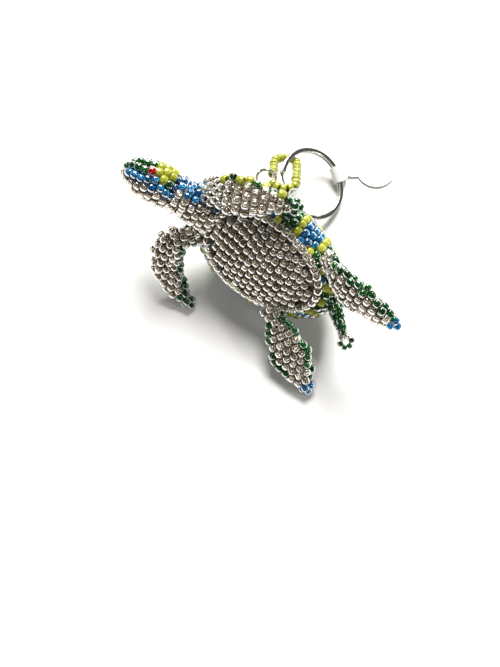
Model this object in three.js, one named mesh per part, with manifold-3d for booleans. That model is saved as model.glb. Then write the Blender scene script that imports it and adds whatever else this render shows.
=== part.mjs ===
// A beaded sea turtle on a key ring, lying on its back and rolled onto its right side.
// Millimetres, +Z up. The turtle is built in its own frame and then laid down:
// x runs from head to tail, y towards the animal's left, z out of its belly.
import * as THREE from 'three';
import { mergeVertices } from 'three/addons/utils/BufferGeometryUtils.js';
import Module from 'manifold-3d';

const wasm = await Module();
wasm.setup();

// ---- driving dimensions ----
const GAP = 0.3;              // clearance between pieces that touch
const SKIN = 1.9;             // thickness of one layer of beadwork

// shell
const SHELL_LENGTH = 43;
const SHELL_WIDTH = 29;
const DOME_DEPTH = 12.5;      // widest line to the crown of the back
const BELLY_HEIGHT = 8;       // widest line to the crown of the belly
const SHELL_TAPER = 0.08;     // how much wider the shoulders are than the hips
const SEAM_ANGLE = 41;        // degrees above the widest line where belly and back meet
const EDGING_DIAMETER = 2;    // beads along the seam of the shell

// resting pose
const ROLL = 48;              // belly turned this far from straight up, onto the right side
const PITCH = 7;              // head end raised

// neck and head
const NECK_DIAMETER = 8.6;
const HEAD_LENGTH = 17;
const HEAD_HEIGHT = 11;
const HEAD_WIDTH = 10.4;
const HEAD_ROLL = 59;         // twist of the head on the neck
const EYE_DIAMETER = 2.2;

// flippers
const FLIPPER_THICKNESS = 4.2;
const FLIPPER_EDGING = 1.6;   // diameter of the row of beads along a flipper's edge
const TIP_DIAMETER = 2.4;

// tail
const TAIL_ROOT_DIAMETER = 4.6;
const TAIL_END_DIAMETER = 2.4;
const TAIL_LOOP_DIAMETER = 4.2;
const TAIL_LOOP_BEAD = 1.6;

// hanging loop
const LOOP_BEAD_DIAMETER = 2.6;
const LOOP_BEAD_LENGTH = 1.32;
const LOOP_BEAD_HOLE = 1;
const LOOP_BEADS = 20;
const LOOP_BARE_BEADS = 2;    // beads' worth of bare thread where the jump ring sits
const LOOP_HALF_WIDTH = 3.1;  // to the thread
const LOOP_HALF_LENGTH = 8.3; // to the thread
const THREAD_DIAMETER = 0.4;
const TIE_DIAMETER = 3.2;

// rings
const RING_DIAMETER = 20;
const RING_WIRE_WIDTH = 1.2;
const RING_WIRE_HEIGHT = 0.7;
const RING_TURN_GAP = 0.16;
const JUMP_RING_DIAMETER = 5.8;
const JUMP_RING_WIRE = 0.8;

// paper tag
const TAG_DISC_DIAMETER = 11;
const TAG_NECK_WIDTH = 2.2;
const TAG_BAND_WIDTH = 4.4;
const TAG_THICKNESS = 0.36;

// ---- small helpers ----
const rad = THREE.MathUtils.degToRad;
const V = (x, y, z) => new THREE.Vector3(x, y, z);
const mix = (a, b, t) => a + (b - a) * t;

function geometry(points, triangles) {
  const g = new THREE.BufferGeometry();
  g.setAttribute('position', new THREE.Float32BufferAttribute(points.flatMap((p) => [p.x, p.y, p.z]), 3));
  let volume = 0;
  for (const [a, b, c] of triangles) {
    volume += points[a].dot(points[b].clone().cross(points[c]));
  }
  g.setIndex(triangles.flatMap(([a, b, c]) => (volume > 0 ? [a, b, c] : [a, c, b])));
  return g;
}

// A closed body through rings of points, capped at both ends or joined end to start.
function loft(rings, endless = false) {
  const n = rings[0].length;
  const points = rings.flat();
  const triangles = [];
  const spans = endless ? rings.length : rings.length - 1;
  for (let i = 0; i < spans; i++) {
    const next = ((i + 1) % rings.length) * n;
    for (let k = 0; k < n; k++) {
      const l = (k + 1) % n;
      triangles.push([i * n + k, i * n + l, next + l], [i * n + k, next + l, next + k]);
    }
  }
  if (!endless) {
    for (const [ring, flip] of [[0, true], [rings.length - 1, false]]) {
      const centre = V(0, 0, 0);
      rings[ring].forEach((p) => centre.addScaledVector(p, 1 / n));
      points.push(centre);
      for (let k = 0; k < n; k++) {
        const [a, b] = [ring * n + k, ring * n + (k + 1) % n];
        triangles.push(flip ? [points.length - 1, b, a] : [points.length - 1, a, b]);
      }
    }
  }
  return geometry(points, triangles);
}

// A patch of a surface given a thickness: outer(i, j) and inner(i, j) are its two faces.
function plate(outer, inner, rows, columns) {
  const rings = [];
  for (let i = 0; i <= rows; i++) {
    const ring = [];
    for (let j = 0; j <= columns; j++) ring.push(outer(i / rows, j / columns));
    for (let j = columns; j >= 0; j--) ring.push(inner(i / rows, j / columns));
    rings.push(ring);
  }
  return loftStrip(rings, columns + 1);
}

// As loft, but each end is closed straight across between its outer and inner row.
function loftStrip(rings, half) {
  const n = rings[0].length;
  const triangles = [];
  for (let i = 0; i < rings.length - 1; i++) {
    for (let k = 0; k < n; k++) {
      const l = (k + 1) % n;
      triangles.push([i * n + k, i * n + l, (i + 1) * n + l], [i * n + k, (i + 1) * n + l, (i + 1) * n + k]);
    }
  }
  const last = (rings.length - 1) * n;
  for (let k = 0; k < half - 1; k++) {
    const [a, b, c, d] = [k, k + 1, n - 2 - k, n - 1 - k];
    triangles.push([b, a, d], [b, d, c]);
    triangles.push([last + a, last + b, last + d], [last + b, last + c, last + d]);
  }
  return geometry(rings.flat(), triangles);
}

// A round bar along a path, given as points.
function bar(path, radius, sides = 6, endless = false) {
  const curve = new THREE.CatmullRomCurve3(path, endless, 'centripetal');
  const steps = path.length - (endless ? 0 : 1);
  const frames = curve.computeFrenetFrames(steps, endless);
  const rings = [];
  for (let i = 0; i < (endless ? steps : steps + 1); i++) {
    const centre = curve.getPointAt(i / steps);
    const ring = [];
    for (let k = 0; k < sides; k++) {
      const a = (2 * Math.PI * k) / sides;
      ring.push(centre.clone()
        .addScaledVector(frames.normals[i], radius * Math.cos(a))
        .addScaledVector(frames.binormals[i], radius * Math.sin(a)));
    }
    rings.push(ring);
  }
  return loft(rings, endless);
}

function solid(g) {
  const bare = g.clone();
  bare.deleteAttribute('normal');
  bare.deleteAttribute('uv');
  const merged = mergeVertices(bare, 1e-5);
  return new wasm.Manifold(new wasm.Mesh({
    numProp: 3,
    vertProperties: new Float32Array(merged.attributes.position.array),
    triVerts: new Uint32Array(merged.index.array),
  }));
}

function cut(g, ...tools) {
  let body = solid(g);
  for (const tool of tools) body = body.subtract(solid(tool));
  const { vertProperties, triVerts } = body.getMesh();
  const out = new THREE.BufferGeometry();
  out.setAttribute('position', new THREE.Float32BufferAttribute(vertProperties, 3));
  out.setIndex(Array.from(triVerts));
  return out;
}

function ball(radius, centre, widths = 20, heights = 12) {
  return new THREE.SphereGeometry(radius, widths, heights).translate(centre.x, centre.y, centre.z);
}

const COLOURS = {
  clear: [0xcfc8bd, 0.15, 0],
  green: [0x0c6b2e, 0.15, 0],
  blue: [0x1583b8, 0.15, 0],
  yellow: [0xb7c81e, 0.25, 0],
  red: [0xb01712, 0.2, 0],
  fibre: [0xe9e6de, 0.95, 0],
  thread: [0xdfe3e4, 0.2, 0],
  steel: [0xb9bab8, 0.22, 1],
  paper: [0xf6f6f3, 0.8, 0],
};

function piece(name, g, colour) {
  const [color, roughness, metalness] = COLOURS[colour];
  const mesh = new THREE.Mesh(g, new THREE.MeshStandardMaterial({ color, roughness, metalness }));
  mesh.name = name;
  return mesh;
}

// ---- shell ----
// around: 0 at the head end, a quarter turn at the animal's left.
// height: degrees from the widest line, positive towards the back, negative towards the belly.
function shellPoint(around, height, inset = 0) {
  const a = SHELL_LENGTH / 2 - inset;
  const b = SHELL_WIDTH / 2 - inset;
  const c = (height > 0 ? DOME_DEPTH : BELLY_HEIGHT) - inset;
  const ring = Math.cos(rad(height));
  return V(-a * Math.cos(around) * ring,
    b * Math.sin(around) * (1 + SHELL_TAPER * Math.cos(around)) * ring,
    -c * Math.sin(rad(height)));
}

// A bowl of beadwork from an open edge at one height to the crown.
function bowl(edge, crown, around = 28, rows = 7) {
  const points = [];
  const triangles = [];
  const row = (layer, i) => (layer * rows + i) * around;
  for (const inset of [0, SKIN]) {
    for (let i = 0; i < rows; i++) {
      for (let k = 0; k < around; k++) {
        points.push(shellPoint((2 * Math.PI * k) / around, mix(edge, crown, i / rows), inset));
      }
    }
  }
  points.push(shellPoint(0, crown, 0), shellPoint(0, crown, SKIN));
  const poles = [points.length - 2, points.length - 1];
  for (let k = 0; k < around; k++) {
    const l = (k + 1) % around;
    for (const layer of [0, 1]) {
      const turn = ([a, b, c]) => (layer ? [a, c, b] : [a, b, c]);
      for (let i = 0; i < rows - 1; i++) {
        const [p, q] = [row(layer, i), row(layer, i + 1)];
        triangles.push(turn([p + k, p + l, q + l]), turn([p + k, q + l, q + k]));
      }
      triangles.push(turn([row(layer, rows - 1) + k, row(layer, rows - 1) + l, poles[layer]]));
    }
    const [outer, inner] = [row(0, 0), row(1, 0)];
    triangles.push([outer + l, outer + k, inner + k], [outer + l, inner + k, inner + l]);
  }
  return geometry(points, triangles);
}

function seamHalfAngle() {
  const arm = (SHELL_WIDTH / 2) * Math.sin(rad(SEAM_ANGLE)) + BELLY_HEIGHT * Math.cos(rad(SEAM_ANGLE));
  return THREE.MathUtils.radToDeg((EDGING_DIAMETER / 2 + GAP) / (arm * 0.72));
}

function seamEdging() {
  const path = [];
  const count = 36;
  for (let k = 0; k < count; k++) path.push(shellPoint((2 * Math.PI * k) / count, -SEAM_ANGLE, 0.35));
  return bar(path, EDGING_DIAMETER / 2 - 0.05, 6, true);
}

function stuffing() {
  const g = new THREE.SphereGeometry(1, 16, 10);
  const inset = SKIN + 0.7;
  const p = g.attributes.position;
  for (let i = 0; i < p.count; i++) {
    const belly = p.getZ(i) > 0 ? BELLY_HEIGHT : DOME_DEPTH;
    p.setXYZ(i, p.getX(i) * (SHELL_LENGTH / 2 - inset - 0.6),
      p.getY(i) * (SHELL_WIDTH / 2 * (1 - SHELL_TAPER) - inset - 0.6), p.getZ(i) * (belly - inset));
  }
  return g;
}

// ---- neck and head ----
// The neck is a ball that the head and the shell both bend on, ahead of the shell.
const NECK_DIRECTION = V(-0.94, 0.04, 0.34).normalize();
const neckSeat = V(-SHELL_LENGTH / 2 * 0.92, 1.4, BELLY_HEIGHT * 0.4);
const neckCentre = neckSeat.clone().addScaledVector(NECK_DIRECTION, NECK_DIAMETER / 2 + 0.75);
const HEAD_DIRECTION = V(-0.955, -0.02, 0.295).normalize();
const headCentre = neckCentre.clone().addScaledVector(HEAD_DIRECTION, HEAD_LENGTH / 2 + NECK_DIAMETER / 2 - 4.2);

// along: 0 at the nose, 1 at the nape. around: degrees from the crown towards the animal's left.
function headPoint(along, around, inset = 0) {
  const x = (along - 0.5) * (HEAD_LENGTH - 2 * inset);
  const swell = Math.pow(Math.max(1 - Math.pow(Math.abs(2 * along - 1), 2.3), 0), 0.5) * mix(0.86, 1.05, along);
  const side = (HEAD_WIDTH / 2) * swell - inset;
  const up = (HEAD_HEIGHT / 2) * swell - inset;
  return V(x, Math.max(side, 0.25) * Math.sin(rad(around)), -Math.max(up, 0.25) * Math.cos(rad(around)));
}

function headPanel(from, to, columns) {
  const [nose, nape] = [0.05, 0.95];
  return plate((i, j) => headPoint(mix(nose, nape, i), mix(from, to, j)),
    (i, j) => headPoint(mix(nose + 0.04, nape - 0.04, i), mix(from, to, j), SKIN), 8, columns);
}

function headGroup() {
  const frame = new THREE.Group();
  const x = HEAD_DIRECTION.clone().negate();
  const z = V(0, 0, 1).addScaledVector(x, -x.z).normalize();
  const y = z.clone().cross(x);
  frame.quaternion.setFromRotationMatrix(new THREE.Matrix4().makeBasis(x, y, z));
  frame.rotateX(rad(HEAD_ROLL));
  frame.position.copy(headCentre);
  const socketCentre = V(headCentre.distanceTo(neckCentre), 0, 0);
  const socket = ball(NECK_DIAMETER / 2 + 0.4, socketCentre);
  const stuffed = new THREE.SphereGeometry(1, 12, 8)
    .scale(HEAD_LENGTH / 2 - SKIN - 1.4, HEAD_WIDTH / 2 - SKIN - 0.75, HEAD_HEIGHT / 2 - SKIN - 0.75);
  frame.add(piece('head_crown', cut(headPanel(-58, 58, 6), socket), 'green'));
  frame.add(piece('left_cheek', cut(headPanel(63, 97, 2), socket), 'blue'));
  frame.add(piece('right_cheek', cut(headPanel(-97, -63, 2), socket), 'blue'));
  frame.add(piece('jaw_and_throat', cut(headPanel(102, 258, 8), socket), 'clear'));
  frame.add(piece('head_stuffing', cut(stuffed, socket), 'fibre'));
  for (const [name, side] of [['left_eye', 1], ['right_eye', -1]]) {
    const outside = EYE_DIAMETER / 2 - 0.35;
    const seat = headPoint(0.42, side * 60, -outside);
    const pocket = ball(EYE_DIAMETER / 2 + GAP, seat, 12, 8);
    frame.add(piece(name, ball(EYE_DIAMETER / 2, seat, 10, 8), 'red'));
    for (const panel of ['head_crown', side > 0 ? 'left_cheek' : 'right_cheek']) {
      const mesh = frame.children.find((m) => m.name === panel);
      mesh.geometry = cut(mesh.geometry, pocket);
    }
  }
  return frame;
}

// ---- flippers ----
// A flipper is a bent lens: a face skin, a back skin, a row of beads along each edge, and a tip.
// course: points of its centre line from root to tip. face: direction its clear side looks.
function flipper(name, { course, face, widths }) {
  const curve = new THREE.CatmullRomCurve3(course.map((p) => V(...p)), false, 'centripetal');
  const across = (s) => {
    const t = s * (widths.length - 1);
    const i = Math.min(Math.floor(t), widths.length - 2);
    const ease = (1 - Math.cos(Math.PI * (t - i))) / 2;
    return mix(widths[i], widths[i + 1], ease) / 2;
  };
  const at = (s, sideways, out) => {
    const tangent = curve.getTangentAt(s);
    const normal = V(...face).addScaledVector(tangent, -tangent.dot(V(...face))).normalize();
    const side = tangent.clone().cross(normal);
    return curve.getPointAt(s).addScaledVector(side, sideways).addScaledVector(normal, out);
  };
  const skinHalf = (s) => Math.max(across(s) - FLIPPER_EDGING - GAP - 0.12, 0.45);
  const skin = (sign) => {
    const rings = [];
    const [rows, columns] = [8, 5];
    for (let i = 0; i <= rows; i++) {
      const s = mix(0.03, 0.9, i / rows);
      const end = i === 0 || i === rows ? 0.8 : 1;
      const ring = [];
      for (let k = 0; k <= columns; k++) {
        const a = (Math.PI * k) / columns;
        ring.push(at(s, skinHalf(s) * Math.cos(a) * end,
          sign * (GAP / 2 + 0.5 + (FLIPPER_THICKNESS / 2 - GAP / 2 - 0.5) * Math.pow(Math.sin(a), 0.7))));
      }
      ring.push(at(s, -skinHalf(s) * end, sign * GAP / 2), at(s, skinHalf(s) * end, sign * GAP / 2));
      rings.push(ring);
    }
    return loft(rings);
  };
  const edge = (sign) => {
    const path = [];
    const steps = 8;
    for (let i = 0; i <= steps; i++) {
      const s = mix(0.04, 0.94, i / steps);
      const half = Math.max(across(s) - FLIPPER_EDGING / 2, FLIPPER_EDGING / 2 + GAP / 2 + 0.05);
      path.push(at(s, sign * Math.max(half, skinHalf(s) + GAP + 0.1 + FLIPPER_EDGING / 2), 0));
    }
    return bar(path, FLIPPER_EDGING / 2, 6);
  };
  const reach = curve.getLength();
  const end = at(1, 0, 0).addScaledVector(curve.getTangentAt(1), TIP_DIAMETER / 2 + GAP - 0.06 * reach);
  return [
    piece(`${name}_face`, skin(1), 'clear'),
    piece(`${name}_back`, skin(-1), 'green'),
    piece(`${name}_front_edging`, edge(-1), 'green'),
    piece(`${name}_rear_edging`, edge(1), 'green'),
    piece(`${name}_tip`, ball(TIP_DIAMETER / 2, end, 10, 6), 'blue'),
  ];
}

// Course points follow the shell: [share of half length, share of half width, share of belly height]
// for the root, then the other points as steps from it.
function course(root, ...steps) {
  const start = [root[0] * SHELL_LENGTH / 2, root[1] * SHELL_WIDTH / 2, root[2] * BELLY_HEIGHT];
  return [start, ...steps.map((step) => step.map((d, i) => start[i] + d))];
}

const FLIPPERS = {
  front_right_flipper: {
    course: course([-0.9, -0.47, 0.6], [-2.2, -2.4, 1.2], [-2.2, -8, 1.6], [2, -13.2, 1], [8.6, -16.5, 0.3]),
    face: [0.1, 0.35, 0.93],
    widths: [6.6, 9.2, 9.4, 7.4, 3.6],
  },
  front_left_flipper: {
    course: course([-0.86, 0.6, 0.72], [4.4, 3.2, 1.9], [10.6, 6, 0.8], [17.6, 8, -2.2]),
    face: [0.1, 0.5, 0.85],
    widths: [8, 10.4, 9.6, 6.4, 3.6],
  },
  rear_left_flipper: {
    course: course([0.68, 0.72, 0.62], [3.8, -0.4, 2.6], [11, -0.2, 4.4], [18.8, 0, 4.6]),
    face: [0.08, -0.35, 0.93],
    widths: [6, 9.4, 11, 7.8, 4.4],
  },
  rear_right_flipper: {
    course: course([0.5, -0.74, 0.72], [5.2, -2.6, 1.8], [11.2, -6.2, 2.4], [16.9, -9.4, 3]),
    face: [0.05, 0.25, 0.95],
    widths: [6.4, 9.4, 11.6, 9.4, 4],
  },
};

// ---- tail ----
const TAIL_DIRECTION = V(0.78, -0.36, 0.5).normalize();
const tailRoot = V(SHELL_LENGTH / 2 + 0.1, 0.2, BELLY_HEIGHT * 0.36);
const TAIL_LENGTH = 6;

function tailPieces() {
  const stations = [[0, 0.6], [0.12, 0.95], [0.35, 0.9], [0.7, 0.5], [0.95, 0.15], [1, 0]];
  const side = TAIL_DIRECTION.clone().cross(V(0, 0, 1)).normalize();
  const up = side.clone().cross(TAIL_DIRECTION);
  const rings = stations.map(([s, share]) => {
    const radius = mix(TAIL_END_DIAMETER, TAIL_ROOT_DIAMETER, share) / 2 * (s === 1 || s === 0 ? 0.7 : 1);
    const ring = [];
    for (let k = 0; k < 8; k++) {
      const a = (Math.PI * k) / 4;
      ring.push(tailRoot.clone().addScaledVector(TAIL_DIRECTION, s * TAIL_LENGTH)
        .addScaledVector(side, radius * Math.cos(a)).addScaledVector(up, radius * Math.sin(a)));
    }
    return ring;
  });
  const mean = (TAIL_LOOP_DIAMETER - TAIL_LOOP_BEAD) / 2;
  const centre = tailRoot.clone().addScaledVector(TAIL_DIRECTION, TAIL_LENGTH + TAIL_LOOP_DIAMETER / 2 + GAP);
  const curl = new THREE.TorusGeometry(mean, TAIL_LOOP_BEAD / 2, 6, 12);
  const turn = new THREE.Quaternion().setFromUnitVectors(V(0, 0, 1), V(0.1, 0.5, 0.85).normalize());
  curl.applyQuaternion(turn).translate(centre.x, centre.y, centre.z);
  return [piece('tail_skin', loft(rings), 'green'), piece('tail_loop', curl, 'green')];
}

// ---- the turtle, laid down ----
function turtle() {
  const group = new THREE.Group();
  const half = seamHalfAngle();
  group.add(piece('carapace_skin', bowl(-SEAM_ANGLE + half, 90), 'green'));
  group.add(piece('plastron_skin', bowl(-SEAM_ANGLE - half, -90, 28, 5), 'clear'));
  group.add(piece('plastron_edging', seamEdging(), 'clear'));
  group.add(piece('shell_stuffing', stuffing(), 'fibre'));
  group.add(piece('neck_skin', ball(NECK_DIAMETER / 2, neckCentre, 16, 10), 'clear'));
  group.add(headGroup());
  for (const [name, shape] of Object.entries(FLIPPERS)) group.add(...flipper(name, shape));
  group.add(...tailPieces());
  group.rotation.set(rad(ROLL), rad(PITCH), 0, 'YXZ');
  group.updateMatrixWorld();
  const down = V(0, 0, -1).applyQuaternion(group.quaternion.clone().invert());
  group.position.z = Math.hypot(down.x * SHELL_LENGTH, down.y * SHELL_WIDTH, down.z * 2 * DOME_DEPTH) / 2;
  group.updateMatrixWorld();
  return group;
}

// ---- hanging loop ----
// The loop slopes down and away from the left flank of the shell.
const LOOP_DIRECTION = V(-0.42, 0.72, -0.55).normalize();
const LOOP_SIDE = V(0.866, 0.5, 0).normalize();
LOOP_SIDE.addScaledVector(LOOP_DIRECTION, -LOOP_SIDE.dot(LOOP_DIRECTION)).normalize();

// Points on the loop's thread: two straight sides joined by half circles. share runs 0 to 1
// round it from the middle of the outer end.
const LOOP_STRAIGHT = 2 * (LOOP_HALF_LENGTH - LOOP_HALF_WIDTH);
const LOOP_LENGTH = 2 * LOOP_STRAIGHT + 2 * Math.PI * LOOP_HALF_WIDTH;

function loopPoint(centre, share) {
  const wrapped = share - Math.floor(share);
  const mirrored = wrapped > 0.5;
  const run = (mirrored ? 1 - wrapped : wrapped) * LOOP_LENGTH;
  const quarter = (Math.PI / 2) * LOOP_HALF_WIDTH;
  let [long, wide] = [0, LOOP_HALF_WIDTH];
  if (run < quarter) {
    long = LOOP_STRAIGHT / 2 + LOOP_HALF_WIDTH * Math.cos(run / LOOP_HALF_WIDTH);
    wide = LOOP_HALF_WIDTH * Math.sin(run / LOOP_HALF_WIDTH);
  } else if (run < quarter + LOOP_STRAIGHT) {
    long = LOOP_STRAIGHT / 2 - (run - quarter);
  } else {
    const turn = (run - quarter - LOOP_STRAIGHT) / LOOP_HALF_WIDTH;
    long = -LOOP_STRAIGHT / 2 - LOOP_HALF_WIDTH * Math.sin(turn);
    wide = LOOP_HALF_WIDTH * Math.cos(turn);
  }
  return centre.clone().addScaledVector(LOOP_DIRECTION, long)
    .addScaledVector(LOOP_SIDE, mirrored ? -wide : wide);
}

function loopTangent(centre, share) {
  return loopPoint(centre, share + 0.005).sub(loopPoint(centre, share - 0.005)).normalize();
}

function loopBead() {
  const [inner, outer, half] = [LOOP_BEAD_HOLE / 2, LOOP_BEAD_DIAMETER / 2, LOOP_BEAD_LENGTH / 2];
  const profile = [
    [inner, -half * 0.8], [mix(inner, outer, 0.5), -half], [outer * 0.97, -half * 0.4],
    [outer * 0.97, half * 0.4], [mix(inner, outer, 0.5), half], [inner, half * 0.8],
  ];
  const rings = [];
  for (let k = 0; k < 10; k++) {
    const a = (2 * Math.PI * k) / 10;
    rings.push(profile.map(([r, y]) => V(r * Math.cos(a), y, r * Math.sin(a))));
  }
  return loft(rings, true);
}

function hangingLoop(centre) {
  const count = LOOP_BEADS + LOOP_BARE_BEADS;
  const firstBare = Math.round(count * 0.64);
  const meshes = [];
  for (let k = 0; k < count; k++) {
    if (k >= firstBare && k < firstBare + LOOP_BARE_BEADS) continue;
    const number = String(meshes.length + 1).padStart(2, '0');
    const bead = piece(`loop_bead_${number}`, loopBead(), 'yellow');
    bead.quaternion.setFromUnitVectors(V(0, 1, 0), loopTangent(centre, k / count));
    bead.position.copy(loopPoint(centre, k / count));
    meshes.push(bead);
  }
  const path = [];
  for (let i = 0; i < 24; i++) path.push(loopPoint(centre, i / 24));
  meshes.push(piece('loop_thread', bar(path, THREAD_DIAMETER / 2, 5, true), 'thread'));
  return { meshes, bare: (firstBare + (LOOP_BARE_BEADS - 1) / 2) / count };
}

// ---- rings and tag ----
function torus(radius, wire, centre, normal, around = 20, sides = 6) {
  const g = new THREE.TorusGeometry(radius, wire, sides, around);
  g.applyQuaternion(new THREE.Quaternion().setFromUnitVectors(V(0, 0, 1), normal));
  return g.translate(centre.x, centre.y, centre.z);
}

function jumpRing(centre, bare) {
  const mean = (JUMP_RING_DIAMETER - JUMP_RING_WIRE) / 2;
  const thread = loopPoint(centre, bare);
  const along = loopTangent(centre, bare);
  const outwards = thread.clone().sub(centre);
  outwards.addScaledVector(along, -outwards.dot(along)).normalize();
  const held = mean - JUMP_RING_WIRE / 2 - THREAD_DIAMETER / 2 - GAP;
  return piece('jump_ring', torus(mean, JUMP_RING_WIRE / 2, thread.addScaledVector(outwards, held), along), 'steel');
}

// Two turns of flat wire with a step between them, in the ring's own plane.
const RING_MEAN = (RING_DIAMETER - RING_WIRE_WIDTH) / 2;
const RING_HALF_HEIGHT = RING_WIRE_HEIGHT + RING_TURN_GAP / 2;

function splitRing() {
  const [stepHalf, steps] = [rad(12), 60];
  const pitch = RING_WIRE_HEIGHT + RING_TURN_GAP;
  const rings = [];
  for (let i = 0; i <= steps; i++) {
    const turn = mix(stepHalf + 0.03, 4 * Math.PI - stepHalf - 0.03, i / steps);
    const rise = THREE.MathUtils.smoothstep(turn, 2 * Math.PI - stepHalf, 2 * Math.PI + stepHalf);
    const z = pitch * (rise - 0.5);
    rings.push([[-1, -1], [1, -1], [1, 1], [-1, 1]].map(([w, h]) => {
      const r = RING_MEAN + (w * RING_WIRE_WIDTH) / 2;
      return V(r * Math.cos(turn), r * Math.sin(turn), z + (h * RING_WIRE_HEIGHT) / 2);
    }));
  }
  return loft(rings);
}

const WIRE_IN_LOOP = 1.6;     // from the loop's middle outwards to the ring's wire
const WIRE_ASIDE = 0.5;       // from the loop's middle towards the head, to the ring's wire
const RING_HEADING = 22;      // degrees from +X, from the hanging loop towards the ring's centre
const RING_STEP_TURN = 200;   // where the step between the two turns sits
const TAG_TURN = 64;          // degrees from +X, where the tag is folded round the ring
const TAG_HEADING = 50;       // degrees from +X, the way its disc points

// The tag is one strip of card: a flat disc, a narrow neck, and a band folded round the ring.
// A station is its distance outwards, its height, its width, and its share of lying flat:
// 0 is square to the ring's wire, 1 is flat on the surface below.
function paperTag(ringCentre, tilt) {
  const basis = new THREE.Matrix4().makeRotationFromEuler(new THREE.Euler(0, tilt, rad(RING_HEADING), 'ZYX'));
  const turn = rad(TAG_TURN - RING_HEADING);
  const radial = V(Math.cos(turn), Math.sin(turn), 0).applyMatrix4(basis);
  const tangent = V(-Math.sin(turn), Math.cos(turn), 0).applyMatrix4(basis);
  const normal = V(0, 0, 1).applyMatrix4(basis);
  const out = V(Math.cos(rad(TAG_HEADING)), Math.sin(rad(TAG_HEADING)), 0);
  const hold = ringCentre.clone().addScaledVector(radial, RING_MEAN);
  const halfThick = TAG_THICKNESS / 2;
  const over = RING_HALF_HEIGHT + GAP + halfThick;
  const wide = RING_WIRE_WIDTH / 2 + GAP + halfThick;
  const bow = TAG_BAND_WIDTH ** 2 / (8 * RING_MEAN);
  const slit = TAG_THICKNESS / 2 + 0.25;
  const flat = halfThick + 0.02 - hold.z;
  const reach = wide + 3.4;
  const strip = [
    [wide + 1.6, slit, TAG_BAND_WIDTH * 0.8, 0], [wide + 0.6, slit, TAG_BAND_WIDTH, 0],
    [wide * 0.8, over, TAG_BAND_WIDTH, 0], [-wide * 0.6 - bow, over, TAG_BAND_WIDTH, 0],
    [-wide - bow, over * 0.5, TAG_BAND_WIDTH, 0], [-wide - bow, -over * 0.5, TAG_BAND_WIDTH, 0],
    [-wide * 0.6 - bow, -over, TAG_BAND_WIDTH, 0], [wide * 0.8, -over, TAG_BAND_WIDTH, 0],
    [wide + 0.6, -slit, TAG_BAND_WIDTH, 0], [wide + 1.6, -slit, TAG_BAND_WIDTH * 0.8, 0.1],
    [wide + 2.4, -slit * 1.6, TAG_NECK_WIDTH, 0.3], [reach, flat * 0.8, TAG_NECK_WIDTH, 0.8],
    [reach + 1.6, flat, TAG_NECK_WIDTH, 1],
  ];
  const radius = TAG_DISC_DIAMETER / 2;
  const first = Math.asin(TAG_NECK_WIDTH / TAG_DISC_DIAMETER);
  const steps = 20;
  for (let i = 1; i <= steps; i++) {
    const a = mix(first, Math.PI - 0.12, i / steps);
    strip.push([reach + 1.6 + radius * (Math.cos(first) - Math.cos(a)), flat, 2 * radius * Math.sin(a), 1]);
  }
  const flatSide = V(-out.y, out.x, 0);
  const up = V(0, 0, 1);
  const middle = ([d, h, , f]) => hold.clone().addScaledVector(radial, d * (1 - f))
    .addScaledVector(normal, h * (1 - f)).addScaledVector(out, d * f).addScaledVector(up, h * f);
  const sections = strip.map((station, i) => {
    const [, , width, f] = station;
    const centre = middle(station);
    const along = middle(strip[Math.min(i + 1, strip.length - 1)]).sub(middle(strip[Math.max(i - 1, 0)]));
    const side = tangent.clone().lerp(flatSide, f).normalize();
    const face = along.cross(side).normalize();
    return [[-1, -1], [1, -1], [1, 1], [-1, 1]].map(([w, t]) => centre.clone()
      .addScaledVector(side, (w * width) / 2).addScaledVector(face, t * halfThick));
  });
  return piece('paper_tag', loft(sections), 'paper');
}

function threadTie(name, at, normal) {
  return piece(name, torus(TIE_DIAMETER / 2 - THREAD_DIAMETER / 2, THREAD_DIAMETER / 2, at, normal, 14, 5), 'thread');
}

// ---- assembly ----
function assembly() {
  const all = new THREE.Group();
  const animal = turtle();
  all.add(animal);
  const flank = (around, height, out) => animal.localToWorld(shellPoint(around, height, -out));
  const loopBase = flank(rad(66), 44, 2.2);
  const beadRadius = LOOP_BEAD_DIAMETER / 2;
  const loopCentre = loopBase.clone().addScaledVector(LOOP_DIRECTION, LOOP_HALF_LENGTH + beadRadius);
  const { meshes, bare } = hangingLoop(loopCentre);
  all.add(...meshes, jumpRing(loopCentre, bare));

  const wire = loopCentre.clone().addScaledVector(LOOP_DIRECTION, WIRE_IN_LOOP)
    .addScaledVector(LOOP_SIDE, -WIRE_ASIDE);
  const tilt = Math.asin((wire.z - RING_HALF_HEIGHT) / (RING_DIAMETER / 2 + RING_MEAN));
  const ring = new THREE.Group();
  ring.position.copy(wire).add(V(RING_MEAN * Math.cos(tilt) * Math.cos(rad(RING_HEADING)),
    RING_MEAN * Math.cos(tilt) * Math.sin(rad(RING_HEADING)), -RING_MEAN * Math.sin(tilt)));
  const turned = piece('split_ring', splitRing(), 'steel');
  turned.rotation.set(0, tilt, rad(RING_HEADING), 'ZYX');
  turned.rotateZ(rad(RING_STEP_TURN));
  ring.add(turned);
  all.add(ring, paperTag(ring.position.clone(), tilt));
  const up = V(0.3, -0.3, 0.9).normalize();
  all.add(threadTie('upper_thread_end', flank(rad(80), 30, TIE_DIAMETER / 2 + 0.4), up));
  all.add(threadTie('lower_thread_end', flank(rad(98), 22, TIE_DIAMETER / 2 + 0.4), up));

  all.updateMatrixWorld();
  const box = new THREE.Box3();
  all.traverse((m) => { if (m.isMesh) box.expandByObject(m, true); });
  const centre = box.getCenter(V(0, 0, 0));
  all.position.set(-centre.x, -centre.y, -box.min.z);
  return all;
}

export default assembly();
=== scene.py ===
"""A beaded sea turtle on a key ring: every seed bead of the weave is laid round the CAD frame.

The turtle is worked out in its own frame, in millimetres: x runs from head to tail, y towards
the animal's left, z out of its belly. place() lays it down in the row frame, in metres.
"""
import math

import bpy
import numpy as np
from mathutils import Matrix, Vector


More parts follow.
